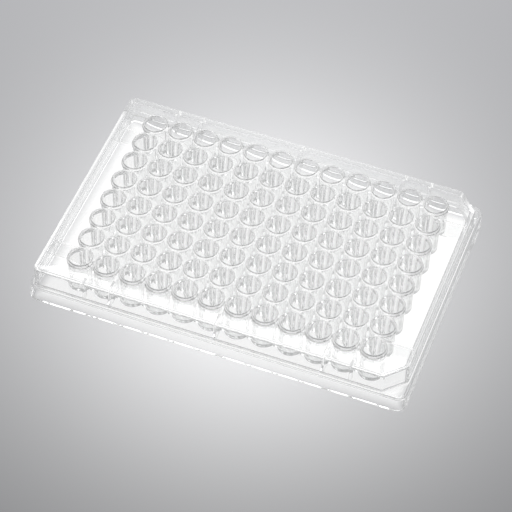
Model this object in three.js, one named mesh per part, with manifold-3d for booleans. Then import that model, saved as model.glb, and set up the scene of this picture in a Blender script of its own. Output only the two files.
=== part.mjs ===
// A 96-well microplate, moulded in one piece: a low skirt, a ledge, a hollow upper body closed by a thin deck,
// and a grid of flat-bottomed wells that hang from the deck, each with a raised rim.
// Millimetres. The origin is at the middle of the foot, +X runs along the long side towards the two cut
// corners, +Y across it and +Z up.

import * as THREE from "three";
import { mergeVertices } from "three/addons/utils/BufferGeometryUtils.js";
import Module from "manifold-3d";

const wasm = await Module();
wasm.setup();

// Skirt: the outline that plate readers, grippers and racks take hold of
const FOOT_LENGTH = 127.76;
const FOOT_WIDTH = 85.48;
const FOOT_CORNER_RADIUS = 3.18;
const SKIRT_HEIGHT = 5.9;
const SKIRT_WALL = 1.6;
const LEDGE_WIDTH = 1.55;
const LEDGE_THICKNESS = 1.2;

// Upper body
const PLATE_HEIGHT = 14.35;
const BODY_CORNER_RADIUS = 2.0;
const BODY_WALL = 1.3;
const CUT_CORNER_LEG = 6.5;
const DECK_THICKNESS = 1.2;
const WALL_LEAN = 0.15; // how far a moulded wall leans in over its height

// Wells
const PITCH = 9.0;
const LEAST_MARGIN = 3.0; // deck left between the grid of wells and the body's walls, at least
const WELL_TOP_RADIUS = 3.43;
const WELL_FLOOR_RADIUS = 3.2;
const WELL_DEPTH = 10.67;
const WELL_FLOOR_THICKNESS = 1.27;
const RIM_WIDTH = 0.44; // the flat ring round each mouth
const RIM_HEIGHT = 1.2; // above the deck
const RIM_FLARE = 0.44; // the rim's foot stands this much wider than its top
const TUBE_TOP_WALL = 0.72;
const TUBE_FLOOR_WALL = 0.75;

// Webs under the deck, from the body's walls to the nearest wells
const WEB_THICKNESS = 1.0;
const WEB_DROP = 7.3; // below the deck's underside
const RIB_DEPTH = 2.0; // a short rib stands this far in from the wall
const WEB_COLUMNS_IN = 2; // on the long sides, a web this many columns in from each end and one midway
const WEB_ROWS_IN = 1; // on the short sides
const RIB_COLUMNS_IN = 1;

// How round things are faceted
const FACETS_FOR_WELLS = 800; // shared out among the wells, so that a plate with more wells stays as light
const CORNER_STEPS = 5;

// Worked out from the sizes above
const footX = FOOT_LENGTH / 2;
const footY = FOOT_WIDTH / 2;
const bodyX = footX - LEDGE_WIDTH;
const bodyY = footY - LEDGE_WIDTH;
const deckTop = PLATE_HEIGHT - RIM_HEIGHT;
const deckUnderside = deckTop - DECK_THICKNESS;
const ledgeUnderside = SKIRT_HEIGHT - LEDGE_THICKNESS;
const wellFloor = PLATE_HEIGHT - WELL_DEPTH;
const rimRadius = WELL_TOP_RADIUS + RIM_WIDTH;
const flareRoom = Math.max(0, PITCH / 2 - rimRadius); // where wells crowd together, their flares meet halfway
const rimFootRadius = rimRadius + Math.min(RIM_FLARE, flareRoom);
const columns = wellsAcross(bodyX);
const rows = wellsAcross(bodyY);
const wellSides = Math.floor(FACETS_FOR_WELLS / (columns * rows)); // 8 on the standard plate
const lastColumnX = ((columns - 1) / 2) * PITCH;
const lastRowY = ((rows - 1) / 2) * PITCH;
const PAST = 1; // a cutter reaches this far past the face that it opens

// How many wells fit between two opposite walls: 12 along the standard plate and 8 across it
function wellsAcross(halfBody) {
  return Math.floor((2 * (halfBody - BODY_WALL - LEAST_MARGIN)) / PITCH);
}

// A closed geometry as a solid for the boolean cuts and joins
function toSolid(geometry) {
  geometry.deleteAttribute("normal");
  geometry.deleteAttribute("uv");
  const merged = mergeVertices(geometry);
  const corners = merged.index.array;
  const triangles = [];
  for (let i = 0; i < corners.length; i += 3) {
    const [a, b, c] = corners.slice(i, i + 3);
    if (a !== b && b !== c && c !== a) {
      triangles.push(a, b, c);
    }
  }
  const mesh = new wasm.Mesh({
    numProp: 3,
    vertProperties: new Float32Array(merged.attributes.position.array),
    triVerts: new Uint32Array(triangles),
  });
  return new wasm.Manifold(mesh);
}

// A solid back as a geometry
function toGeometry(solid) {
  const mesh = solid.getMesh();
  const geometry = new THREE.BufferGeometry();
  geometry.setAttribute("position", new THREE.BufferAttribute(mesh.vertProperties, mesh.numProp));
  geometry.setIndex(new THREE.BufferAttribute(mesh.triVerts, 1));
  geometry.computeVertexNormals();
  return geometry;
}

// A rectangle with round corners, whose +X corners can be cut off at 45 degrees instead
function outline(halfX, halfY, radius, cutLeg) {
  const shape = new THREE.Shape();
  shape.absarc(-halfX + radius, -halfY + radius, radius, Math.PI, 1.5 * Math.PI);
  if (cutLeg > 0) {
    shape.lineTo(halfX - cutLeg, -halfY);
    shape.lineTo(halfX, -halfY + cutLeg);
    shape.lineTo(halfX, halfY - cutLeg);
    shape.lineTo(halfX - cutLeg, halfY);
  } else {
    shape.absarc(halfX - radius, -halfY + radius, radius, 1.5 * Math.PI, 2 * Math.PI);
    shape.absarc(halfX - radius, halfY - radius, radius, 0, 0.5 * Math.PI);
  }
  shape.absarc(-halfX + radius, halfY - radius, radius, 0.5 * Math.PI, Math.PI);
  return shape;
}

// An outline raised from one height to another, its top leaning in on every side
function leaningBlock({ halfX, halfY, radius, cutLeg = 0, from, to, lean }) {
  const settings = { depth: to - from, bevelEnabled: false, curveSegments: CORNER_STEPS };
  const geometry = new THREE.ExtrudeGeometry(outline(halfX, halfY, radius, cutLeg), settings);
  const position = geometry.attributes.position;
  for (let i = 0; i < position.count; i += 1) {
    if (position.getZ(i) > settings.depth / 2) {
      position.setX(i, position.getX(i) * (1 - lean / halfX));
      position.setY(i, position.getY(i) * (1 - lean / halfY));
    }
  }
  geometry.translate(0, 0, from);
  return toSolid(geometry);
}

// The outside of the skirt and the upper body, and the two-step hollow under them
function shell() {
  const skirt = leaningBlock({
    halfX: footX,
    halfY: footY,
    radius: FOOT_CORNER_RADIUS,
    from: 0,
    to: SKIRT_HEIGHT,
    lean: WALL_LEAN,
  });
  const body = leaningBlock({
    halfX: bodyX,
    halfY: bodyY,
    radius: BODY_CORNER_RADIUS,
    cutLeg: CUT_CORNER_LEG,
    from: ledgeUnderside,
    to: deckTop,
    lean: WALL_LEAN,
  });
  const skirtHollow = leaningBlock({
    halfX: footX - SKIRT_WALL,
    halfY: footY - SKIRT_WALL,
    radius: FOOT_CORNER_RADIUS - SKIRT_WALL,
    from: -PAST,
    to: ledgeUnderside,
    lean: 0,
  });
  const bodyHollow = leaningBlock({
    halfX: bodyX - BODY_WALL,
    halfY: bodyY - BODY_WALL,
    radius: BODY_CORNER_RADIUS - BODY_WALL,
    cutLeg: CUT_CORNER_LEG - BODY_WALL * (2 - Math.SQRT2),
    from: -PAST,
    to: deckUnderside,
    lean: WALL_LEAN,
  });
  return skirt.add(body).subtract(skirtHollow).subtract(bodyHollow);
}

// One turned form, from a profile of [radius, height] pairs, at every place in the grid of wells
function atEveryWell(profile) {
  const points = profile.map(([radius, height]) => new THREE.Vector2(radius, height));
  const turned = new THREE.LatheGeometry(points, wellSides);
  turned.rotateX(Math.PI / 2);
  const one = toSolid(turned);
  const copies = [];
  for (let row = 0; row < rows; row += 1) {
    for (let column = 0; column < columns; column += 1) {
      copies.push(one.translate([column * PITCH - lastColumnX, row * PITCH - lastRowY, 0]));
    }
  }
  return copies.reduce((joined, copy) => joined.add(copy));
}

// The wells' outsides: a slightly tapered tube below the deck and a flared rim above it
function tubes() {
  return atEveryWell([
    [0, wellFloor - WELL_FLOOR_THICKNESS],
    [WELL_FLOOR_RADIUS + TUBE_FLOOR_WALL, wellFloor - WELL_FLOOR_THICKNESS],
    [WELL_TOP_RADIUS + TUBE_TOP_WALL, deckUnderside],
    [rimFootRadius, deckTop],
    [rimRadius, PLATE_HEIGHT],
    [0, PLATE_HEIGHT],
  ]);
}

// The wells' insides, carried on past the mouths
function bores() {
  const widening = (WELL_TOP_RADIUS - WELL_FLOOR_RADIUS) / WELL_DEPTH;
  return atEveryWell([
    [0, wellFloor],
    [WELL_FLOOR_RADIUS, wellFloor],
    [WELL_TOP_RADIUS + widening * PAST, PLATE_HEIGHT + PAST],
    [0, PLATE_HEIGHT + PAST],
  ]);
}

// Where the gap lies that follows so many of a line of wells
function gapAfter(count, wells) {
  return (count - wells / 2) * PITCH;
}

// One upright web, between two points and hanging from the middle of the deck
function web(fromX, fromY, toX, toY) {
  const top = deckUnderside + DECK_THICKNESS / 2;
  const bottom = deckUnderside - WEB_DROP;
  const lengthX = Math.abs(toX - fromX) || WEB_THICKNESS;
  const lengthY = Math.abs(toY - fromY) || WEB_THICKNESS;
  const geometry = new THREE.BoxGeometry(lengthX, lengthY, top - bottom);
  geometry.translate((fromX + toX) / 2, (fromY + toY) / 2, (top + bottom) / 2);
  return toSolid(geometry);
}

// All the webs and short ribs, each starting in the middle of the wall that it stands on
function webs() {
  const wallX = bodyX - BODY_WALL / 2;
  const wallY = bodyY - BODY_WALL / 2;
  const ribEndY = bodyY - BODY_WALL - RIB_DEPTH;
  const made = [];
  for (const side of [-1, 1]) {
    for (const column of [WEB_COLUMNS_IN, Math.floor(columns / 2), columns - WEB_COLUMNS_IN]) {
      const x = gapAfter(column, columns);
      made.push(web(x, side * lastRowY, x, side * wallY));
    }
    for (const column of [RIB_COLUMNS_IN, columns - RIB_COLUMNS_IN]) {
      const x = gapAfter(column, columns);
      made.push(web(x, side * ribEndY, x, side * wallY));
    }
    for (const row of [WEB_ROWS_IN, rows - WEB_ROWS_IN]) {
      const y = gapAfter(row, rows);
      made.push(web(side * lastColumnX, y, side * wallX, y));
    }
  }
  return made;
}

function plateSolid() {
  let solid = shell().add(tubes());
  for (const each of webs()) {
    solid = solid.add(each);
  }
  return solid.subtract(bores());
}

const clearPlastic = new THREE.MeshStandardMaterial({
  color: 0xf1f4f5,
  roughness: 0.06,
  metalness: 0,
  transparent: true,
  opacity: 0.45,
});

const plate = new THREE.Mesh(toGeometry(plateSolid()), clearPlastic);
plate.name = "plate";

const wellPlate = new THREE.Group();
wellPlate.add(plate);

export default wellPlate;
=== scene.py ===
"""A clear 96-well plate, moulded in polystyrene in one piece, on a pale studio floor.

Lengths are in metres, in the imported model's frame: the origin is the middle of the foot, +X runs along
the long side towards the two cut corners, +Y runs across the plate towards the first row of wells, and
+Z is up.
"""
import logging
import math
from collections.abc import Mapping, Sequence
from dataclasses import dataclass
from enum import Enum

import bmesh
import bpy
from bmesh.types import BMEdge, BMesh, BMFace, BMVert
from mathutils import Matrix, Quaternion, Vector


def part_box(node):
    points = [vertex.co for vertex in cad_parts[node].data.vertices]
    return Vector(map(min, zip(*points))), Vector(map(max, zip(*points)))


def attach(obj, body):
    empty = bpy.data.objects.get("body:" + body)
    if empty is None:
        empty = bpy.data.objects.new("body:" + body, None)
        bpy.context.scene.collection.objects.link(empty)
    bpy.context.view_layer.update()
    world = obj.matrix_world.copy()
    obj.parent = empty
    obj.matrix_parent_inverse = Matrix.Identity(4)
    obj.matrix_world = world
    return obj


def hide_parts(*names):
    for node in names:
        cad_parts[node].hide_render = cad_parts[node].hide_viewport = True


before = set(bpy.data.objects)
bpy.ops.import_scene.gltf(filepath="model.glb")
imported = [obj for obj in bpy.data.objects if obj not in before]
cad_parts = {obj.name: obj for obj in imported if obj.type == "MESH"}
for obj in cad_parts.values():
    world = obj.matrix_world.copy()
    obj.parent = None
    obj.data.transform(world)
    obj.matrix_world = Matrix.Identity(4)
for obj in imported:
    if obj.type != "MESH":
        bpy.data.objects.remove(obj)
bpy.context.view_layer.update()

MM = 0.001
MERGE_DISTANCE = 0.001 * MM
Input = float | tuple[float, ...] | bpy.types.NodeSocket
log = logging.getLogger("well_plate")


# --------------------------------------------------------------------------------------------------
# Shaping helpers
# --------------------------------------------------------------------------------------------------


def round_verts(bm: BMesh, verts: Sequence[BMVert], offset: float, steps: int) -> list[BMVert]:
    """Rounds the corners of a flat face.

    Args:
        bm: The mesh being shaped.
        verts: The corners to round.
        offset: How far from each corner its arc begins and ends.
        steps: How many edges make up each arc; one cuts the corner straight off.

    Returns:
        The vertices of the new arcs.
    """
    made = bmesh.ops.bevel(
        bm,
        geom=list(verts),
        offset=offset,
        offset_type="OFFSET",
        affect="VERTICES",
        segments=steps,
        profile=0.5,
        material=-1,
    )
    return made["verts"]


def round_edges(bm: BMesh, edges: Sequence[BMEdge], offset: float, steps: int) -> None:
    """Rounds a line of edges, whether it stands out or is let in.

    Args:
        bm: The mesh being shaped.
        edges: The edges to round.
        offset: How far from each edge its rounding begins and ends.
        steps: How many strips make up the rounding.
    """
    bmesh.ops.bevel(
        bm,
        geom=list(edges),
        offset=offset,
        offset_type="OFFSET",
        affect="EDGES",
        segments=steps,
        profile=0.5,
        material=-1,
        clamp_overlap=False,
    )


def open_face(bm: BMesh, face: BMFace) -> list[BMEdge]:
    """Takes a face away and leaves its edges.

    Args:
        bm: The mesh being shaped.
        face: The face to take away.

    Returns:
        The edges that bounded it.
    """
    edges = sorted(face.edges, key=lambda edge: edge.index)
    bmesh.ops.delete(bm, geom=[face], context="FACES_ONLY")
    return edges


def loose_ends(bm: BMesh) -> list[BMEdge]:
    """Gives the edges that have a face on one side only, in the same order on every run."""
    return [edge for edge in bm.edges if edge.is_boundary]


def settle_order(bm: BMesh) -> None:
    """Numbers a mesh's corners, edges and faces by their places, so that every run numbers them alike."""
    ranks = {vert: rank for rank, vert in enumerate(sorted(bm.verts, key=lambda vert: vert.co.to_tuple()))}
    bm.verts.sort(key=ranks.get)
    bm.verts.index_update()
    for parts in (bm.edges, bm.faces):
        ordered = sorted(parts, key=lambda part: sorted(vert.index for vert in part.verts))
        places = {part: rank for rank, part in enumerate(ordered)}
        parts.sort(key=places.get)
        parts.index_update()


def add_block(bm: BMesh, low: Vector, high: Vector) -> list[BMVert]:
    """Adds a closed block between two opposite corners.

    Args:
        bm: The mesh.
        low: The block's lowest corner.
        high: Its highest corner.

    Returns:
        The block's vertices.
    """
    verts = bmesh.ops.create_cube(bm, size=1.0)["verts"]
    bmesh.ops.scale(bm, vec=high - low, verts=verts)
    bmesh.ops.translate(bm, vec=(low + high) / 2, verts=verts)
    return verts


def keep_mesh(bm: BMesh, name: str) -> bpy.types.Mesh:
    """Writes out what a bmesh holds and frees it.

    Args:
        bm: The bmesh.
        name: Name of the mesh.

    Returns:
        The mesh.
    """
    mesh = bpy.data.meshes.new(name)
    bm.to_mesh(mesh)
    bm.free()
    return mesh


def add_object(name: str, data: bpy.types.ID) -> bpy.types.Object:
    """Puts a mesh, light or camera into the scene.

    Args:
        name: Name of the object.
        data: What it shows.

    Returns:
        The object.
    """
    made = bpy.data.objects.new(name, data)
    bpy.context.scene.collection.objects.link(made)
    return made


@dataclass(frozen=True)
class Turn:
    """One corner of a turned profile.

    Attributes:
        radius: Distance from the axis.
        height: Height in the plate's frame.
        rounding: How far from the corner its rounding begins, or zero to leave it sharp.
        steps: How many edges make up the rounding.
    """

    radius: float
    height: float
    rounding: float = 0.0
    steps: int = 0


# --------------------------------------------------------------------------------------------------
# The moulding
# --------------------------------------------------------------------------------------------------


@dataclass(frozen=True)
class Outline:
    """A rectangle in plan, rounded at its -X corners, and rounded or cut off at its +X corners.

    Every outline has the same number of corners, so that any two can be joined by a wall.

    Attributes:
        half_x: Half its length.
        half_y: Half its width.
        height: The height that it lies at.
        radius: Radius of its rounded corners.
        cut_leg: Length of each leg of a cut corner, or zero to round the +X corners too.
        cut_end: How far from each end of the cut its own small rounding begins.
        near_steps: Edges in each -X corner.
        cut_end_steps: Edges in each end of a cut.
    """

    half_x: float
    half_y: float
    height: float
    radius: float
    cut_leg: float = 0.0
    cut_end: float = 0.5 * MM
    near_steps: int = 8
    cut_end_steps: int = 4

    def draw(self, bm: BMesh) -> BMFace:
        """Draws the outline as one flat face.

        Args:
            bm: The mesh that it goes into.

        Returns:
            The face.
        """
        corners = bmesh.ops.create_grid(bm, x_segments=1, y_segments=1, size=1.0)["verts"]
        bmesh.ops.scale(bm, vec=(self.half_x, self.half_y, 1.0), verts=corners)
        bmesh.ops.translate(bm, vec=(0.0, 0.0, self.height), verts=corners)
        near = [vert for vert in corners if vert.co.x < 0.0]
        far = [vert for vert in corners if vert.co.x > 0.0]
        arcs = round_verts(bm, near, self.radius, self.near_steps)
        if self.cut_leg > 0.0:
            ends = round_verts(bm, far, self.cut_leg, 1)
            round_verts(bm, ends, self.cut_end, self.cut_end_steps)
        else:
            round_verts(bm, far, self.radius, 2 * self.cut_end_steps + 1)
        return arcs[0].link_faces[0]


@dataclass
class Shell:
    """The walls all round the plate: foot, skirt, ledge and upper body, outside and inside.

    Attributes:
        foot_x: Half the length at the foot.
        foot_y: Half the width at the foot.
        deck_top: Height of the deck's upper face.
        foot_radius: Radius of the foot's corners in plan.
        skirt_height: Height of the ledge's upper face.
        skirt_wall: Thickness of the skirt.
        ledge_width: How far the skirt stands out past the upper body.
        ledge_thickness: Thickness of the ledge.
        body_radius: Radius of the upper body's -X corners in plan.
        body_wall: Thickness of the upper body's walls.
        cut_leg: Leg of the upper body's cut +X corners.
        deck_thickness: Thickness of the deck.
        lean: How far a wall leans in over its height.
        top_rounding: Where the deck's outer edge begins to round.
        wall_fillet: Where the wall's foot begins to round into the ledge.
        ledge_rounding: Where the ledge's outer edge begins to round.
        foot_rounding: Where the foot's two edges begin to round.
        hollow_fillet: Where the hollow under the ledge begins to round.
        wall_rounding: Where the wall's lower inner edge begins to round.
        deck_fillet: Where the wall begins to round into the deck's underside.
        edge_steps: Strips in each rounded edge.
        apart: How far apart the outlines are held in height while walls are drawn between them.
    """

    foot_x: float
    foot_y: float
    deck_top: float
    foot_radius: float = 3.18 * MM
    skirt_height: float = 5.9 * MM
    skirt_wall: float = 1.2 * MM
    ledge_width: float = 1.55 * MM
    ledge_thickness: float = 1.2 * MM
    body_radius: float = 2.0 * MM
    body_wall: float = 1.3 * MM
    cut_leg: float = 6.5 * MM
    deck_thickness: float = 1.2 * MM
    lean: float = 0.15 * MM
    top_rounding: float = 0.1 * MM
    wall_fillet: float = 1.0 * MM
    ledge_rounding: float = 0.35 * MM
    foot_rounding: float = 0.06 * MM
    hollow_fillet: float = 0.2 * MM
    wall_rounding: float = 0.05 * MM
    deck_fillet: float = 0.4 * MM
    edge_steps: int = 3
    apart: float = 100.0 * MM

    @property
    def deck_underside(self) -> float:
        """Height of the deck's lower face."""
        return self.deck_top - self.deck_thickness

    def inset(self, depth: float, height: float, radius: float, cut: bool = False) -> Outline:
        """Lays out one outline, so far in from the foot's.

        Args:
            depth: Distance in from the foot's outer edge.
            height: Height that the outline lies at.
            radius: Radius of its rounded corners.
            cut: Whether its +X corners are cut off.

        Returns:
            The outline.
        """
        leg = 0.0
        if cut:
            wall_in = max(0.0, depth - self.ledge_width - self.lean)
            leg = self.cut_leg - wall_in * (2.0 - math.sqrt(2.0))
        return Outline(self.foot_x - depth, self.foot_y - depth, height, radius, leg)

    def build(self, bm: BMesh) -> tuple[list[BMEdge], list[BMEdge]]:
        """Builds the walls, open at the deck.

        Args:
            bm: The mesh that they go into.

        Returns:
            The edges round the deck's upper opening and round its lower one.
        """
        body = self.ledge_width
        body_in = body + self.body_wall
        ledge_low = self.skirt_height - self.ledge_thickness
        inner_radius = self.foot_radius - self.skirt_wall
        hollow_radius = self.body_radius - self.body_wall
        levels = [
            (self.inset(body + self.lean, self.deck_top, self.body_radius, True), self.top_rounding),
            (self.inset(body, self.skirt_height, self.body_radius, True), self.wall_fillet),
            (self.inset(self.lean, self.skirt_height, self.foot_radius), self.ledge_rounding),
            (self.inset(0.0, 0.0, self.foot_radius), self.foot_rounding),
            (self.inset(self.skirt_wall, 0.0, inner_radius), self.foot_rounding),
            (self.inset(self.skirt_wall, ledge_low, inner_radius), self.hollow_fillet),
            (self.inset(body_in, ledge_low, hollow_radius, True), self.wall_rounding),
            (self.inset(body_in + self.lean, self.deck_underside, hollow_radius, True), self.deck_fillet),
        ]
        faces = [outline.draw(bm) for outline, _ in levels]
        rings = [list(face.edges) for face in faces]
        corners = [list(face.verts) for face in faces]
        bmesh.ops.delete(bm, geom=faces[1:-1], context="FACES_ONLY")
        for index, verts in enumerate(corners):
            bmesh.ops.translate(bm, vec=(0.0, 0.0, -index * self.apart), verts=verts)
        for upper, lower in zip(rings, rings[1:]):
            bmesh.ops.bridge_loops(bm, edges=upper + lower)
        for index, verts in enumerate(corners):
            bmesh.ops.translate(bm, vec=(0.0, 0.0, index * self.apart), verts=verts)
        bmesh.ops.recalc_face_normals(bm, faces=bm.faces)
        for ring, (_, rounding) in zip(rings, levels):
            round_edges(bm, ring, rounding, self.edge_steps)
        settle_order(bm)
        caps = [
            max((face for face in bm.faces if self.lies_at(face, height)), key=BMFace.calc_area)
            for height in (self.deck_top, self.deck_underside)
        ]
        return open_face(bm, caps[0]), open_face(bm, caps[1])

    @staticmethod
    def lies_at(face: BMFace, height: float) -> bool:
        """Says whether a face lies flat at a height."""
        return all(abs(vert.co.z - height) < MERGE_DISTANCE for vert in face.verts)


@dataclass
class Well:
    """One round well with the square of deck that it stands in.

    The wells share one raised field. Towards its neighbours a well's square lies at the field's height. On
    the plate's outer side the field ends in a disc round the well, and the square lies at the deck's height.

    Attributes:
        rim_top: Height of the rim.
        deck_top: Height of the deck's upper face.
        deck_underside: Height of the deck's lower face.
        pitch: Distance from one well to the next.
        mouth_radius: Radius of the bore at the rim.
        floor_radius: Radius of the bore at its floor.
        depth: Depth of the bore.
        floor_thickness: Thickness of the floor.
        rim_radius: Radius of the rim's outer edge.
        rim_foot_radius: Radius of the rim where it meets the field.
        rim_height: How far the rim stands above the field.
        field_thickness: Thickness of the raised field between the wells.
        disc_radius: Radius of the field's disc round an outer well.
        disc_foot_radius: Radius of that disc where it meets the deck.
        tube_top_radius: Outer radius of the tube under the deck.
        tube_floor_radius: Outer radius of the tube at its foot.
        valley: How far the square reaches past the largest circle in it.
        mouth_rounding: Where the rim's inner edge begins to round.
        rim_rounding: Where the rim's outer edge begins to round.
        rim_fillet: Where the rim's foot begins to round.
        disc_rounding: Where the disc's upper edge begins to round.
        disc_fillet: Where the disc's foot begins to round.
        floor_fillet: Where the bore's floor begins to round.
        tube_fillet: Where the tube begins to round into the deck.
        foot_rounding: Where the tube's foot begins to round.
        sides: Facets round the well.
        fine_steps: Edges in each small rounding.
        round_steps: Edges in each rounding that shows most.
    """

    rim_top: float
    deck_top: float
    deck_underside: float
    pitch: float = 9.0 * MM
    mouth_radius: float = 3.72 * MM
    floor_radius: float = 3.2 * MM
    depth: float = 10.67 * MM
    floor_thickness: float = 1.27 * MM
    rim_radius: float = 4.04 * MM
    rim_foot_radius: float = 4.08 * MM
    rim_height: float = 0.4 * MM
    field_thickness: float = 1.0 * MM
    disc_radius: float = 4.3 * MM
    disc_foot_radius: float = 4.4 * MM
    tube_top_radius: float = 4.21 * MM
    tube_floor_radius: float = 4.19 * MM
    valley: float = 0.04 * MM
    mouth_rounding: float = 0.06 * MM
    rim_rounding: float = 0.22 * MM
    rim_fillet: float = 0.06 * MM
    disc_rounding: float = 0.05 * MM
    disc_fillet: float = 0.05 * MM
    floor_fillet: float = 0.35 * MM
    tube_fillet: float = 0.1 * MM
    foot_rounding: float = 0.12 * MM
    sides: int = 36
    fine_steps: int = 2
    round_steps: int = 3

    @property
    def floor(self) -> float:
        """Height of the bore's floor."""
        return self.rim_top - self.depth

    @property
    def foot(self) -> float:
        """Height of the tube's lowest face."""
        return self.floor - self.floor_thickness

    @property
    def field(self) -> float:
        """Height of the raised field that the rims stand on."""
        return self.rim_top - self.rim_height

    @property
    def field_underside(self) -> float:
        """Height of the field's lower face."""
        return self.field - self.field_thickness

    def rim_and_bore(self) -> list[Turn]:
        """Lays out the upper face from the field over the rim and down to the floor."""
        return [
            Turn(self.rim_foot_radius, self.field, self.rim_fillet, self.fine_steps),
            Turn(self.rim_radius, self.rim_top, self.rim_rounding, self.round_steps),
            Turn(self.mouth_radius, self.rim_top, self.mouth_rounding, self.fine_steps),
            Turn(self.floor_radius, self.floor, self.floor_fillet, self.fine_steps),
            Turn(0.0, self.floor),
        ]

    def field_profile(self) -> list[Turn]:
        """Lays out the upper face towards a neighbour, level with the field."""
        edge = Turn(self.pitch / 2 - self.valley, self.field)
        brink = Turn(self.disc_radius - self.disc_rounding, self.field)
        return [edge, brink, *self.rim_and_bore()]

    def edge_profile(self) -> list[Turn]:
        """Lays out the upper face on the plate's outer side, where the field steps down to the deck."""
        edge = Turn(self.pitch / 2 - self.valley, self.deck_top)
        disc_foot = Turn(self.disc_foot_radius, self.deck_top, self.disc_fillet, self.fine_steps)
        disc = Turn(self.disc_radius, self.field, self.disc_rounding, self.round_steps)
        return [edge, disc_foot, disc, *self.rim_and_bore()]

    def tube_foot(self) -> list[Turn]:
        """Lays out the foot of the tube and its lowest face."""
        corner = Turn(self.tube_floor_radius, self.foot, self.foot_rounding, self.fine_steps)
        return [corner, Turn(0.0, self.foot)]

    def edge_tube_profile(self) -> list[Turn]:
        """Lays out the lower face on the plate's outer side, from under the deck down the tube."""
        edge = Turn(self.pitch / 2 - self.valley, self.deck_underside)
        top = Turn(self.tube_top_radius, self.deck_underside, self.tube_fillet, self.fine_steps)
        return [edge, top, *self.tube_foot()]

    def field_tube_profile(self) -> list[Turn]:
        """Lays out the lower face towards a neighbour, where the tube runs up to the field's underside."""
        height = self.field_underside
        corner = Vector((self.tube_top_radius, self.deck_underside))
        down = (Vector((self.tube_floor_radius, self.foot)) - corner).normalized()
        shared = corner + down * self.tube_fillet
        top = corner + down * ((height - self.deck_underside) / down.y)
        edge = Turn(self.pitch / 2 - self.valley, height)
        under = Turn(top.x, height, self.tube_fillet, self.fine_steps)
        return [edge, under, Turn(shared.x, shared.y), *self.tube_foot()]

    def quarter(self, profile: Sequence[Turn], beyond: float) -> bpy.types.Mesh:
        """Spins a profile into a quarter of one face of a well, out to the quarter's square of deck.

        Args:
            profile: The profile's corners, from the deck to the axis.
            beyond: A height well clear of the profile, on the side that its rounded corners turn away from.

        Returns:
            The quarter on the +X and +Y side of the axis.
        """
        bm = bmesh.new()
        corners = [bm.verts.new((turn.radius, 0.0, turn.height)) for turn in profile]
        spare = [bm.verts.new((radius, 0.0, beyond)) for radius in (0.0, profile[0].radius)]
        bm.faces.new(corners + spare)
        for corner, turn in zip(corners, profile):
            if turn.steps:
                round_verts(bm, [corner], turn.rounding, turn.steps)
        bmesh.ops.delete(bm, geom=spare, context="VERTS")
        settle_order(bm)
        bmesh.ops.spin(
            bm,
            geom=bm.verts[:] + bm.edges[:],
            cent=(0.0, 0.0, 0.0),
            axis=(0.0, 0.0, 1.0),
            angle=math.pi / 2,
            steps=self.sides // 4,
        )
        bmesh.ops.remove_doubles(bm, verts=bm.verts, dist=MERGE_DISTANCE)
        outermost = profile[0].radius - MERGE_DISTANCE
        rim = [edge for edge in loose_ends(bm) if min(vert.co.xy.length for vert in edge.verts) > outermost]
        grown = bmesh.ops.extrude_edge_only(bm, edges=rim)
        for vert in grown["geom"]:
            if isinstance(vert, BMVert):
                reach = max(abs(vert.co.x), abs(vert.co.y))
                vert.co.xy *= self.pitch / 2 / reach
        settle_order(bm)
        return keep_mesh(bm, "quarter_well")


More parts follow.
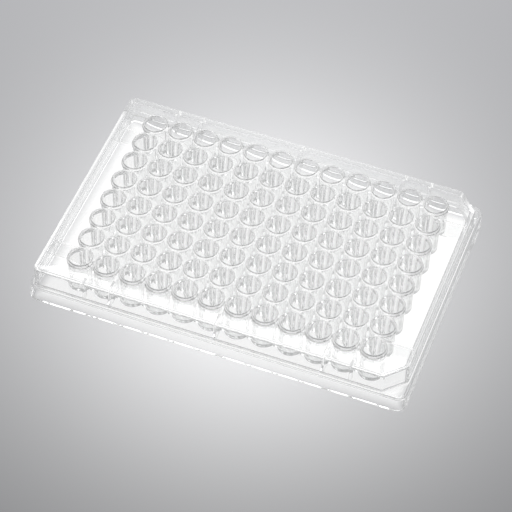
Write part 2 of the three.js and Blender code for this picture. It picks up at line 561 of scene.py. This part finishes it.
@dataclass
class WellGrid:
    """The wells, in rows and columns about the plate's middle.

    They are laid in square cells, each with its middle between four wells and a quarter well in each corner.

    Attributes:
        well: The well that is repeated.
        columns: Wells along the plate.
        rows: Wells across it.
        notch_edges: Most edges round a notch between two of the field's discs.
    """

    well: Well
    columns: int = 12
    rows: int = 8
    notch_edges: int = 40

    @property
    def last_x(self) -> float:
        """Distance from the middle to the last column."""
        return (self.columns - 1) / 2 * self.well.pitch

    @property
    def last_y(self) -> float:
        """Distance from the middle to the outermost row."""
        return (self.rows - 1) / 2 * self.well.pitch

    def repeat(self, bm: BMesh, count: int, step: Vector) -> None:
        """Copies all that a mesh holds, so many times in a line.

        Args:
            bm: The mesh.
            count: How many there are in the line, with the first.
            step: From each copy to the next.
        """
        first = bm.verts[:] + bm.edges[:] + bm.faces[:]
        for index in range(1, count):
            copy = bmesh.ops.duplicate(bm, geom=first)["geom"]
            verts = [item for item in copy if isinstance(item, BMVert)]
            bmesh.ops.translate(bm, vec=step * index, verts=verts)

    def cell(self, quarter: bpy.types.Mesh, turns: Sequence[int]) -> BMesh:
        """Puts quarter wells into the corners of one cell.

        Args:
            quarter: The quarter well.
            turns: How many right angles each quarter is turned by, counted from the cell's -X -Y corner.

        Returns:
            The cell about the origin.
        """
        bm = bmesh.new()
        corner = Vector((-self.well.pitch / 2, -self.well.pitch / 2, 0.0))
        for turn in turns:
            before = set(bm.verts)
            bm.from_mesh(quarter)
            verts = [vert for vert in bm.verts if vert not in before]
            bmesh.ops.translate(bm, vec=corner, verts=verts)
            around = Matrix.Rotation(turn * math.pi / 2, 3, "Z")
            bmesh.ops.rotate(bm, verts=verts, cent=(0.0, 0.0, 0.0), matrix=around)
        return bm

    def build(self, field: Sequence[Turn], edge: Sequence[Turn], beyond: float) -> bpy.types.Mesh:
        """Builds one face of the whole grid.

        Args:
            field: The profile of a well's face towards its neighbours.
            edge: The profile of its face on the plate's outer side.
            beyond: A height clear of both, as Well.quarter takes.

        Returns:
            The grid's face as a mesh.
        """
        inner = self.well.quarter(field, beyond)
        outer = self.well.quarter(edge, beyond)
        pitch = self.well.pitch
        across, up = self.columns - 1, self.rows - 1
        far_x, far_y = self.last_x + pitch / 2, self.last_y + pitch / 2
        near_x, near_y = pitch / 2 - self.last_x, pitch / 2 - self.last_y
        groups = [
            (inner, (0, 1, 2, 3), near_x, near_y, across, up),
            (outer, (2, 3), near_x, -far_y, across, 1),
            (outer, (0, 1), near_x, far_y, across, 1),
            (outer, (1, 2), -far_x, near_y, 1, up),
            (outer, (3, 0), far_x, near_y, 1, up),
            (outer, (2,), -far_x, -far_y, 1, 1),
            (outer, (3,), far_x, -far_y, 1, 1),
            (outer, (0,), far_x, far_y, 1, 1),
            (outer, (1,), -far_x, far_y, 1, 1),
        ]
        whole = bmesh.new()
        for quarter, turns, x, y, columns, rows in groups:
            bm = self.cell(quarter, turns)
            bmesh.ops.translate(bm, vec=(x, y, 0.0), verts=bm.verts)
            self.repeat(bm, columns, Vector((pitch, 0.0, 0.0)))
            self.repeat(bm, rows, Vector((0.0, pitch, 0.0)))
            part = keep_mesh(bm, "cells")
            whole.from_mesh(part)
            bpy.data.meshes.remove(part)
        bmesh.ops.remove_doubles(whole, verts=whole.verts, dist=MERGE_DISTANCE)
        bmesh.ops.holes_fill(whole, edges=loose_ends(whole), sides=self.notch_edges)
        return keep_mesh(whole, "wells")


@dataclass
class Webs:
    """The upright webs and short ribs that hang from the deck between the walls and the outer wells.

    Each stands between two columns or two rows, counted in pitches from the plate's middle.

    Attributes:
        shell: The walls that they stand on.
        grid: The wells that they run to.
        thickness: Thickness of each.
        drop: How far they reach below the deck's underside.
        rib_depth: How far a short rib stands in from the wall.
        web_columns: Where the webs on the long walls stand.
        rib_columns: Where the short ribs stand.
        web_rows: Where the webs on the short walls stand.
        foot_rounding: Where their lower edges begin to round.
        foot_steps: Strips in each rounded edge.
    """

    shell: Shell
    grid: WellGrid
    thickness: float = 0.8 * MM
    drop: float = 7.3 * MM
    rib_depth: float = 2.0 * MM
    web_columns: tuple[int, ...] = (-4, 0, 4)
    rib_columns: tuple[int, ...] = (-5, 5)
    web_rows: tuple[int, ...] = (-3, 3)
    foot_rounding: float = 0.15 * MM
    foot_steps: int = 2

    def slab(self, bm: BMesh, low: Vector, high: Vector) -> None:
        """Adds one web between two opposite corners, with its lower edges rounded."""
        verts = add_block(bm, low, high)
        edges = dict.fromkeys(edge for vert in verts for edge in vert.link_edges)
        foot = [edge for edge in edges if max(v.co.z for v in edge.verts) < low.z + MERGE_DISTANCE]
        round_edges(bm, foot, self.foot_rounding, self.foot_steps)

    def build(self) -> bpy.types.Mesh:
        """Builds them all, each starting inside the wall that it stands on.

        Returns:
            The webs as a mesh of separate closed slabs.
        """
        bm = bmesh.new()
        shell, grid = self.shell, self.grid
        half = self.thickness / 2
        top = shell.deck_underside + shell.deck_thickness / 2
        bottom = shell.deck_underside - self.drop
        wall = shell.ledge_width + shell.body_wall / 2 + shell.lean
        wall_x = shell.foot_x - wall
        wall_y = shell.foot_y - wall
        rib_end = wall_y - shell.body_wall / 2 - self.rib_depth
        upright = [(column, grid.last_y) for column in self.web_columns]
        upright += [(column, rib_end) for column in self.rib_columns]
        for side in (-1, 1):
            for column, inner in upright:
                near, far = sorted((side * inner, side * wall_y))
                middle = column * grid.well.pitch
                self.slab(bm, Vector((middle - half, near, bottom)), Vector((middle + half, far, top)))
            for row in self.web_rows:
                near, far = sorted((side * grid.last_x, side * wall_x))
                middle = row * grid.well.pitch
                self.slab(bm, Vector((near, middle - half, bottom)), Vector((far, middle + half, top)))
        return keep_mesh(bm, "webs")


@dataclass
class Ties:
    """The ties that join each well's tube to the tubes beside it.

    Attributes:
        grid: The wells that they join.
        width: Width of each tie.
        foot: Height of its lowest face.
        bite: How far it stays clear of the bores.
    """

    grid: WellGrid
    width: float = 2.8 * MM
    foot: float = 1.5 * MM
    bite: float = 0.12 * MM

    def build(self) -> bpy.types.Mesh:
        """Builds them all, each starting inside one tube's wall and ending inside the next.

        Returns:
            The ties as a mesh of separate closed blocks.
        """
        bm = bmesh.new()
        grid, well = self.grid, self.grid.well
        foot = Vector((0.0, 0.0, self.foot))
        top = Vector((0.0, 0.0, (well.field_underside + well.deck_top) / 2))
        reach = well.pitch / 2 - well.mouth_radius - self.bite
        along_x = Vector((reach, self.width / 2, 0.0))
        along_y = Vector((self.width / 2, reach, 0.0))
        for column in range(grid.columns):
            for row in range(grid.rows):
                axis = Vector((column * well.pitch - grid.last_x, row * well.pitch - grid.last_y, 0.0))
                middles = []
                if column + 1 < grid.columns:
                    middles.append((axis + Vector((well.pitch / 2, 0.0, 0.0)), along_x))
                if row + 1 < grid.rows:
                    middles.append((axis + Vector((0.0, well.pitch / 2, 0.0)), along_y))
                for middle, half in middles:
                    add_block(bm, middle - half + foot, middle + half + top)
        return keep_mesh(bm, "ties")


@dataclass
class PlateMoulding:
    """The whole plate as one closed skin, inside and out.

    Attributes:
        name: Name of the finished piece.
        high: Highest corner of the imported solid.
        deck_drop: How far the deck lies below the rims' tops.
        sharp_from: The angle between two faces, in degrees, from which their edge stays sharp.
        even_weight: How strongly large faces draw the shading of the edges beside them.
    """

    name: str
    high: Vector
    deck_drop: float = 1.2 * MM
    sharp_from: float = 55.0
    even_weight: int = 50

    def __post_init__(self) -> None:
        """Works out the sub-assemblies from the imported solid's size."""
        deck_top = self.high.z - self.deck_drop
        self.shell = Shell(self.high.x, self.high.y, deck_top)
        self.grid = WellGrid(Well(self.high.z, deck_top, self.shell.deck_underside))
        self.webs = Webs(self.shell, self.grid)
        self.ties = Ties(self.grid)

    def add_sheet(self, bm: BMesh, wells: bpy.types.Mesh, opening: list[BMEdge]) -> None:
        """Sets one face of the wells into the deck's opening and fills in the deck round it.

        Args:
            bm: The mesh that holds the walls.
            wells: One face of the grid of wells.
            opening: The edges round the deck's opening.
        """
        before = set(bm.edges)
        bm.from_mesh(wells)
        inner = [edge for edge in bm.edges if edge not in before and edge.is_boundary]
        bmesh.ops.triangle_fill(bm, use_beauty=True, use_dissolve=False, edges=opening + inner)

    def build(self) -> bpy.types.Object:
        """Builds the piece.

        Returns:
            The finished object, linked into the scene.
        """
        well = self.grid.well
        bm = bmesh.new()
        top, underside = self.shell.build(bm)
        above = self.high.z * 2
        upper = self.grid.build(well.field_profile(), well.edge_profile(), above)
        self.add_sheet(bm, upper, top)
        lower = self.grid.build(well.field_tube_profile(), well.edge_tube_profile(), above)
        self.add_sheet(bm, lower, underside)
        settle_order(bm)
        bmesh.ops.recalc_face_normals(bm, faces=bm.faces)
        piece = add_object(self.name, keep_mesh(bm, self.name))
        for added in (self.ties.build(), self.webs.build()):
            self.join(piece, added)
        self.dress(piece)
        return piece

    def join(self, piece: bpy.types.Object, added: bpy.types.Mesh) -> None:
        """Unites separate blocks with the moulding, so that no face is left inside it.

        Args:
            piece: The moulding's object.
            added: The blocks, none of which touches another.
        """
        blocks = add_object(added.name, added)
        union = piece.modifiers.new("union", "BOOLEAN")
        union.operation = "UNION"
        union.solver = "MANIFOLD"
        union.object = blocks
        depsgraph = bpy.context.evaluated_depsgraph_get()
        joined = bpy.data.meshes.new_from_object(piece.evaluated_get(depsgraph))
        piece.modifiers.remove(union)
        piece.data = joined
        joined.name = self.name
        joined.materials.clear()
        bpy.data.objects.remove(blocks)

    def dress(self, piece: bpy.types.Object) -> None:
        """Smooths the shading of the rounded edges and keeps the sharp ones.

        Args:
            piece: The moulding's object.
        """
        for polygon in piece.data.polygons:
            polygon.use_smooth = True
        piece.data.set_sharp_from_angle(angle=math.radians(self.sharp_from))
        weighted = piece.modifiers.new("even shading", "WEIGHTED_NORMAL")
        weighted.keep_sharp = True
        weighted.weight = self.even_weight


# --------------------------------------------------------------------------------------------------
# Finishes
# --------------------------------------------------------------------------------------------------


class Side(Enum):
    """The side of a node group that a socket is on."""

    ENTRY = "INPUT"
    EXIT = "OUTPUT"


class Kind(Enum):
    """What a socket of a node group carries."""

    NUMBER = "NodeSocketFloat"
    VECTOR = "NodeSocketVector"


def socket(
    group: bpy.types.NodeTree, name: str, side: Side, kind: Kind = Kind.NUMBER, value: float | None = None
) -> None:
    """Adds a named socket to a node group.

    Args:
        group: The group.
        name: Name of the socket.
        side: The side that it is on.
        kind: What it carries.
        value: The value that it starts with.
    """
    made = group.interface.new_socket(name=name, in_out=side.value, socket_type=kind.value)
    if value is not None:
        made.default_value = value


def set_inputs(tree: bpy.types.NodeTree, node: bpy.types.Node, inputs: Mapping[str | int, Input]) -> None:
    """Sets a node's inputs, by name or by number.

    Args:
        tree: The nodes that it belongs to.
        node: The node.
        inputs: What each input takes: a value, or a socket to link to it.
    """
    for key, value in inputs.items():
        if isinstance(value, bpy.types.NodeSocket):
            tree.links.new(value, node.inputs[key])
        else:
            node.inputs[key].default_value = value


def add_node(
    tree: bpy.types.NodeTree, kind: str, inputs: Mapping[str | int, Input] | None = None, **choices: str
) -> bpy.types.Node:
    """Adds a node.

    Args:
        tree: The nodes that it joins.
        kind: Its type.
        inputs: What its inputs take, as set_inputs has them.
        choices: Its own settings, which are made first.

    Returns:
        The node.
    """
    node = tree.nodes.new(kind)
    for name, choice in choices.items():
        setattr(node, name, choice)
    set_inputs(tree, node, inputs or {})
    return node


def maths(tree: bpy.types.NodeTree, operation: str, *values: Input) -> bpy.types.NodeSocket:
    """Adds a Math node and gives its result."""
    return add_node(tree, "ShaderNodeMath", dict(enumerate(values)), operation=operation).outputs["Value"]


def vector_math(tree: bpy.types.NodeTree, operation: str, *values: Input) -> bpy.types.Node:
    """Adds a Vector Math node."""
    return add_node(tree, "ShaderNodeVectorMath", dict(enumerate(values)), operation=operation)


def blend(tree: bpy.types.NodeTree, share: Input, first: Input, second: Input) -> bpy.types.NodeSocket:
    """Adds a node that mixes two colours and gives the mix, which is the second where the share is 1."""
    inputs = {"Factor": share, "A": first, "B": second}
    return add_node(tree, "ShaderNodeMix", inputs, data_type="RGBA").outputs["Result"]


def mould_flow_group() -> bpy.types.NodeTree:
    """Builds the group that gives a moulding its faint ripple and haze.

    Returns:
        A group that takes a Vector, a Ripple Scale and a Haze Scale, and puts out Height and Haze.
    """
    group = bpy.data.node_groups.new("mould flow", "ShaderNodeTree")
    socket(group, "Vector", Side.ENTRY, Kind.VECTOR)
    socket(group, "Ripple Scale", Side.ENTRY, value=90.0)
    socket(group, "Haze Scale", Side.ENTRY, value=25.0)
    socket(group, "Height", Side.EXIT)
    socket(group, "Haze", Side.EXIT)
    entry = group.nodes.new("NodeGroupInput").outputs
    leave = group.nodes.new("NodeGroupOutput")
    for scale, detail, result in (("Ripple Scale", 2.0, "Height"), ("Haze Scale", 4.0, "Haze")):
        inputs = {"Vector": entry["Vector"], "Scale": entry[scale], "Detail": detail}
        noise = add_node(group, "ShaderNodeTexNoise", inputs)
        group.links.new(noise.outputs["Fac"], leave.inputs[result])
    return group


def painted_shade_ring_group() -> bpy.types.NodeTree:
    """Builds the group that finds a narrow ring round every well, where painted shade is laid.

    Returns:
        A group that takes a Vector, the wells' Pitch and Reach, the ring's Radius and Width, and the heights
        Low and High that it lies between. It puts out Ring.
    """
    group = bpy.data.node_groups.new("painted shade ring", "ShaderNodeTree")
    for name in ("Vector", "Reach"):
        socket(group, name, Side.ENTRY, Kind.VECTOR)
    for name in ("Pitch", "Radius", "Width", "Low", "High"):
        socket(group, name, Side.ENTRY)
    socket(group, "Ring", Side.EXIT)
    entry = group.nodes.new("NodeGroupInput").outputs
    leave = group.nodes.new("NodeGroupOutput")
    place = add_node(group, "ShaderNodeSeparateXYZ", {"Vector": entry["Vector"]}).outputs
    reach = add_node(group, "ShaderNodeSeparateXYZ", {"Vector": entry["Reach"]}).outputs
    half_pitch = maths(group, "MULTIPLY", entry["Pitch"], 0.5)
    above = maths(group, "GREATER_THAN", place["Z"], entry["Low"])
    below = maths(group, "LESS_THAN", place["Z"], entry["High"])
    inside = maths(group, "MULTIPLY", above, below)
    from_axis = {}
    for axis in ("X", "Y"):
        within = maths(group, "FLOORED_MODULO", place[axis], entry["Pitch"])
        from_axis[axis] = maths(group, "SUBTRACT", within, half_pitch)
        distance = maths(group, "ABSOLUTE", place[axis])
        reached = maths(group, "LESS_THAN", distance, reach[axis])
        inside = maths(group, "MULTIPLY", inside, reached)
    flat = add_node(group, "ShaderNodeCombineXYZ", from_axis).outputs["Vector"]
    radius = vector_math(group, "LENGTH", flat).outputs["Value"]
    off = maths(group, "ABSOLUTE", maths(group, "SUBTRACT", radius, entry["Radius"]))
    inputs = {"Value": off, "From Max": entry["Width"], "To Min": 1.0, "To Max": 0.0}
    fade = add_node(group, "ShaderNodeMapRange", inputs, interpolation_type="SMOOTHSTEP")
    group.links.new(maths(group, "MULTIPLY", fade.outputs["Result"], inside), leave.inputs["Ring"])
    return group


@dataclass(frozen=True)
class PaintedShadeRing:
    """A narrow ring of painted shade round every well, tinted into the plastic's colour.

    It darkens the light that passes through, and leaves the surface as smooth as it was.

    Attributes:
        radius: Radius of the ring's middle.
        width: Distance from its middle to where it ends.
        low: Height that it starts at.
        high: Height that it ends at.
        tint: Colour that it lets through.
    """

    radius: float
    width: float
    low: float
    high: float
    tint: tuple[float, float, float, float]

    def add(
        self,
        tree: bpy.types.NodeTree,
        group: bpy.types.NodeTree,
        place: bpy.types.NodeSocket,
        grid: WellGrid,
        colour: bpy.types.NodeSocket,
    ) -> bpy.types.NodeSocket:
        """Lays the ring of painted shade over a colour.

        Args:
            tree: The material's nodes.
            group: The group that finds the ring.
            place: Object coordinates.
            grid: The wells that it runs round.
            colour: The colour under it.

        Returns:
            The colour with the painted shade.
        """
        pitch = grid.well.pitch
        ring = tree.nodes.new("ShaderNodeGroup")
        ring.node_tree = group
        inputs = {
            "Vector": place,
            "Reach": (grid.last_x + pitch / 2, grid.last_y + pitch / 2, 0.0),
            "Pitch": pitch,
            "Radius": self.radius,
            "Width": self.width,
            "Low": self.low,
            "High": self.high,
        }
        set_inputs(tree, ring, inputs)
        return blend(tree, ring.outputs["Ring"], colour, self.tint)


@dataclass(frozen=True)
class ClearPlastic:
    """Clear moulded polystyrene.

    Attributes:
        name: Name of the material.
        flow: The group of shared mould effects.
        grid: The wells that the rings of painted shade run round.
        rings: The rings of painted shade.
        clear_tint: Colour of the clearest places.
        cloud_tint: Colour of the faintly clouded places.
        smoothest: Roughness of the smoothest places.
        dullest: Roughness of the dullest places.
        transmission: Share of the light that goes through.
        refraction: Index of refraction.
        ripple_scale: Scale of the ripple's noise.
        ripple_depth: Depth of the ripple.
    """

    name: str
    flow: bpy.types.NodeTree
    grid: WellGrid
    rings: tuple[PaintedShadeRing, ...]
    clear_tint: tuple[float, float, float, float] = (0.93, 0.93, 0.93, 1.0)
    cloud_tint: tuple[float, float, float, float] = (0.905, 0.91, 0.91, 1.0)
    smoothest: float = 0.0
    dullest: float = 0.02
    transmission: float = 1.0
    refraction: float = 1.59
    ripple_scale: float = 60.0
    ripple_depth: float = 0.004 * MM

    def build(self) -> bpy.types.Material:
        """Builds the material.

        Returns:
            The material.
        """
        material = bpy.data.materials.new(self.name)
        material.use_nodes = True
        tree = material.node_tree
        place = add_node(tree, "ShaderNodeTexCoord").outputs["Object"]
        flow = tree.nodes.new("ShaderNodeGroup")
        flow.node_tree = self.flow
        set_inputs(tree, flow, {"Vector": place, "Ripple Scale": self.ripple_scale})
        haze = flow.outputs["Haze"]
        inputs = {"Value": haze, "To Min": self.smoothest, "To Max": self.dullest}
        roughness = add_node(tree, "ShaderNodeMapRange", inputs)
        colour = blend(tree, haze, self.clear_tint, self.cloud_tint)
        shade_ring_group = painted_shade_ring_group()
        # Painted shade: each ring darkens the base colour round every well.
        for ring in self.rings:
            colour = ring.add(tree, shade_ring_group, place, self.grid, colour)
        inputs = {"Distance": self.ripple_depth, "Height": flow.outputs["Height"]}
        bump = add_node(tree, "ShaderNodeBump", inputs)
        inputs = {
            "Base Color": colour,
            "Roughness": roughness.outputs["Result"],
            "Normal": bump.outputs["Normal"],
            "IOR": self.refraction,
            "Transmission Weight": self.transmission,
        }
        set_inputs(tree, tree.nodes["Principled BSDF"], inputs)
        return material


# --------------------------------------------------------------------------------------------------
# The studio
# --------------------------------------------------------------------------------------------------


def way_to(azimuth: float, elevation: float) -> Vector:
    """Gives the way from the plate to something that stands round it.

    Args:
        azimuth: Angle round the plate, in degrees; zero is the -Y side.
        elevation: Angle above the floor, in degrees.

    Returns:
        A vector of length one.
    """
    around, up = math.radians(azimuth), math.radians(elevation)
    level = math.cos(up)
    return Vector((math.sin(around) * level, -math.cos(around) * level, math.sin(up)))


@dataclass(frozen=True)
class Viewpoint:
    """Where the camera stands.

    Attributes:
        aim: The point that it looks at.
        azimuth: Its angle round the plate, in degrees; zero looks along +Y.
        elevation: Its angle above the floor, in degrees.
        roll: How far it is turned about its own line of sight, in degrees.
        distance: How far it stands from the aim.
        lens: Focal length in millimetres.
        sensor: Width of its sensor in millimetres.
        nearest: Distance from which it sees anything.
    """

    aim: Vector
    azimuth: float = 19.573
    elevation: float = 49.8735
    roll: float = 1.4495
    distance: float = 720.66 * MM
    lens: float = 158.366
    sensor: float = 36.0
    nearest: float = 10 * MM

    def build(self) -> bpy.types.Object:
        """Builds the camera and makes it the scene's.

        Returns:
            The camera's object.
        """
        roll = math.radians(self.roll)
        back = way_to(self.azimuth, self.elevation)
        side = Vector((0.0, 0.0, 1.0)).cross(back).normalized()
        above = back.cross(side)
        right = side * math.cos(roll) + above * math.sin(roll)
        up = above * math.cos(roll) - side * math.sin(roll)
        data = bpy.data.cameras.new("camera")
        data.sensor_width = self.sensor
        data.lens = self.lens
        data.clip_start = self.nearest
        camera = add_object("camera", data)
        turn = Matrix((right, up, back)).transposed().to_4x4()
        camera.matrix_world = Matrix.Translation(self.aim + back * self.distance) @ turn
        bpy.context.scene.camera = camera
        return camera


@dataclass(frozen=True)
class Floor:
    """The pale floor, with a soft oval pool of light and a soft even glow under the plate.

    Attributes:
        patch: Half the length and half the width of the glow, which ends inside the plate's foot.
        size: Length of its side.
        gap: How far its face lies below the plate's foot.
        steps: Squares along its side.
        centre: Where the middle of the pool lies.
        turn: How far the pool's axes are turned, in degrees.
        reach: The pool's half-width and half-depth, where it has faded to about a third.
        fade: Power of the pool's fading; two would be a bell curve.
        pool: Brightness that the pool adds in its middle.
        rim: Brightness beyond the pool.
        tilt: How much brighter the floor gets with each metre along X and along Y.
        rim_tint: Colour of the floor beyond the pool.
        patch_level: Brightness of the glow.
        patch_fade: How far in from its edge the glow fades into the pool.
        glow: Share of its brightness that it gives off itself, as a lit table does.
        light: Brightness of a white face under the studio's lights.
        roughness: How matt it is.
    """

    patch: tuple[float, float]
    size: float = 6.0
    gap: float = 0.05 * MM
    steps: int = 8
    centre: tuple[float, float] = (0.2 * MM, -6.6 * MM)
    turn: float = 20.4
    reach: tuple[float, float] = (66.0 * MM, 75.7 * MM)
    fade: float = 1.473
    pool: float = 0.832
    rim: float = 0.315
    tilt: tuple[float, float] = (-0.36, 0.99)
    rim_tint: tuple[float, float, float] = (0.985, 0.99, 1.025)
    patch_level: float = 1.02
    patch_fade: float = 5.0 * MM
    glow: float = 0.95
    light: float = 0.7
    roughness: float = 0.9

    def material(self) -> bpy.types.Material:
        """Builds the floor's finish."""
        material = bpy.data.materials.new("pale_floor")
        material.use_nodes = True
        tree = material.node_tree
        place = add_node(tree, "ShaderNodeTexCoord").outputs["Object"]
        colour = self.add_patch(tree, place, self.add_pool(tree, place))
        inputs = {0: colour, "Scale": (1.0 - self.glow) / self.light}
        paint = add_node(tree, "ShaderNodeVectorMath", inputs, operation="SCALE")
        inputs = {
            "Base Color": paint.outputs["Vector"],
            "Roughness": self.roughness,
            "Specular IOR Level": 0.0,
            "Emission Color": colour,
            "Emission Strength": self.glow,
        }
        set_inputs(tree, tree.nodes["Principled BSDF"], inputs)
        return material

    def add_pool(self, tree: bpy.types.NodeTree, place: bpy.types.NodeSocket) -> bpy.types.NodeSocket:
        """Adds the nodes of the pool of light.

        Args:
            tree: The floor's nodes.
            place: The position on the floor.

        Returns:
            The floor's colour.
        """
        inputs = {
            "Vector": place,
            "Location": (*self.centre, 0.0),
            "Rotation": (0.0, 0.0, math.radians(self.turn)),
            "Scale": (*self.reach, 1.0),
        }
        oval = add_node(tree, "ShaderNodeMapping", inputs, vector_type="TEXTURE").outputs["Vector"]
        distance = vector_math(tree, "LENGTH", oval).outputs["Value"]
        power = maths(tree, "POWER", distance, self.fade)
        faded = maths(tree, "EXPONENT", maths(tree, "MULTIPLY", power, -1.0))
        added = maths(tree, "MULTIPLY", faded, self.pool)
        tilt = vector_math(tree, "DOT_PRODUCT", place, (*self.tilt, 0.0)).outputs["Value"]
        tilted = maths(tree, "MAXIMUM", maths(tree, "ADD", tilt, self.rim), self.rim / 2)
        tilted = maths(tree, "MINIMUM", tilted, self.rim * 2)
        inputs = {0: self.rim_tint, "Scale": tilted}
        beyond = add_node(tree, "ShaderNodeVectorMath", inputs, operation="SCALE").outputs["Vector"]
        return vector_math(tree, "ADD", beyond, added).outputs["Vector"]

    def add_patch(
        self, tree: bpy.types.NodeTree, place: bpy.types.NodeSocket, around: bpy.types.NodeSocket
    ) -> bpy.types.NodeSocket:
        """Adds the nodes of the glow under the plate.

        Args:
            tree: The floor's nodes.
            place: The position on the floor.
            around: The floor's colour round the glow.

        Returns:
            The floor's colour with the glow.
        """
        spread = vector_math(tree, "ABSOLUTE", place).outputs["Vector"]
        past = vector_math(tree, "SUBTRACT", spread, (*self.patch, 0.0)).outputs["Vector"]
        split = add_node(tree, "ShaderNodeSeparateXYZ", {"Vector": past}).outputs
        furthest = maths(tree, "MAXIMUM", split["X"], split["Y"])
        inputs = {"Value": furthest, "From Min": -self.patch_fade, "From Max": 0.0}
        edge = add_node(tree, "ShaderNodeMapRange", inputs, interpolation_type="SMOOTHSTEP")
        return blend(tree, edge.outputs["Result"], (*[self.patch_level] * 3, 1.0), around)

    def build(self) -> bpy.types.Object:
        """Builds the floor."""
        bm = bmesh.new()
        grid = bmesh.ops.create_grid(bm, x_segments=self.steps, y_segments=self.steps, size=self.size / 2)
        bmesh.ops.translate(bm, vec=(0.0, 0.0, -self.gap), verts=grid["verts"])
        floor = add_object("studio_floor", keep_mesh(bm, "studio_floor"))
        floor.data.materials.append(self.material())
        return floor


@dataclass(frozen=True)
class Room:
    """The pale room all round, brighter overhead than near the floor.

    Attributes:
        overhead: Brightness straight up.
        horizon: Brightness level with the floor.
        dark_to: Height, from 0 at the floor to 1 straight up, below which it is as dim as at the horizon.
        bright_from: Height above which it is as bright as overhead.
    """

    overhead: float = 1.2
    horizon: float = 0.5
    dark_to: float = 0.8
    bright_from: float = 0.95

    def build(self) -> bpy.types.World:
        """Builds the room's light and makes it the scene's."""
        world = bpy.data.worlds.new("pale room")
        bpy.context.scene.world = world
        world.use_nodes = True
        tree = world.node_tree
        place = add_node(tree, "ShaderNodeTexCoord").outputs["Generated"]
        split = add_node(tree, "ShaderNodeSeparateXYZ", {"Vector": place}).outputs
        inputs = {
            "Value": split["Z"],
            "From Min": self.dark_to,
            "From Max": self.bright_from,
            "To Min": self.horizon,
            "To Max": self.overhead,
        }
        rise = add_node(tree, "ShaderNodeMapRange", inputs, interpolation_type="SMOOTHSTEP")
        inputs = {"Color": (1.0, 1.0, 1.0, 1.0), "Strength": rise.outputs["Result"]}
        set_inputs(tree, tree.nodes["Background"], inputs)
        return world


@dataclass(frozen=True)
class Softbox:
    """A large soft light, facing the plate.

    Attributes:
        name: Name of the light.
        azimuth: Its angle round the plate, in degrees; zero stands on the -Y side.
        elevation: Its angle above the floor, in degrees.
        width: Its width.
        height: Its height.
        radiance: How bright its face is.
        roll: How far it is turned about the line to the plate, in degrees.
        distance: How far it stands from the plate.
    """

    name: str
    azimuth: float
    elevation: float
    width: float
    height: float
    radiance: float
    roll: float = 0.0
    distance: float = 2.0

    def build(self) -> bpy.types.Object:
        """Builds the light.

        Returns:
            The light's object.
        """
        away = way_to(self.azimuth, self.elevation)
        data = bpy.data.lights.new(self.name, "AREA")
        data.shape = "RECTANGLE"
        data.size = self.width
        data.size_y = self.height
        data.energy = self.radiance * math.pi * self.width * self.height
        light = add_object(self.name, data)
        light.location = away * self.distance
        rolled = Quaternion((0.0, 0.0, 1.0), math.radians(self.roll))
        light.rotation_euler = (away.to_track_quat("Z", "Y") @ rolled).to_euler()
        return light


@dataclass(frozen=True)
class Studio:
    """Floor, light and camera.

    Attributes:
        viewpoint: Where the camera stands.
        floor: The floor.
        room: The room's light.
        softboxes: The lights.
        clear_bounces: How many clear faces a ray of light may cross.
        matt_bounces: How many times light may be thrown back by matt faces.
    """

    viewpoint: Viewpoint
    floor: Floor
    room: Room
    softboxes: tuple[Softbox, ...]
    clear_bounces: int = 96
    matt_bounces: int = 4

    def build(self) -> None:
        """Builds the studio and sets how light is traced through clear walls."""
        for part in (self.viewpoint, self.floor, self.room, *self.softboxes):
            part.build()
        scene = bpy.context.scene
        scene.view_settings.view_transform = "Standard"
        scene.view_settings.look = "None"
        scene.cycles.max_bounces = self.clear_bounces
        scene.cycles.transmission_bounces = self.clear_bounces
        scene.cycles.glossy_bounces = self.clear_bounces
        scene.cycles.transparent_max_bounces = self.clear_bounces
        scene.cycles.diffuse_bounces = self.matt_bounces
        scene.cycles.blur_glossy = 0.0
        scene.cycles.use_denoising = True


def main() -> None:
    """Builds the plate and its studio."""
    logging.basicConfig(level=logging.INFO, format="%(name)s: %(message)s")
    _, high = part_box("plate")
    moulding = PlateMoulding("plate_moulding", high)
    piece = moulding.build()
    # Painted shade: two dark rings round each well, one on the rim and one round the foot of its disc.
    rings = (
        PaintedShadeRing(radius=3.98 * MM, width=0.2 * MM, low=13.9 * MM, high=14.4 * MM, tint=(0.3, 0.3, 0.3, 1.0)),
        PaintedShadeRing(radius=4.4 * MM, width=0.16 * MM, low=13.1 * MM, high=13.35 * MM, tint=(0.2, 0.2, 0.2, 1.0)),
    )
    plastic = ClearPlastic("clear_polystyrene", mould_flow_group(), moulding.grid, rings)
    piece.data.materials.append(plastic.build())
    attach(piece, "root")
    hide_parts("plate")
    log.info("%s: %d faces", piece.name, len(piece.data.polygons))
    viewpoint = Viewpoint(aim=Vector((2.6545, -10.875, 14.35)) * MM)
    opposite = viewpoint.azimuth + 180.0
    softboxes = (
        Softbox("far_softbox", opposite, elevation=49.87, width=0.8, height=0.6, radiance=1.5),
        Softbox(
            "front_strip_light", 202.68, elevation=54.39, width=0.56, height=0.15, radiance=1.9, roll=-15.6
        ),
    )
    Studio(viewpoint, Floor(patch=(high.x, high.y)), Room(), softboxes).build()


if __name__ == "__main__":
    main()
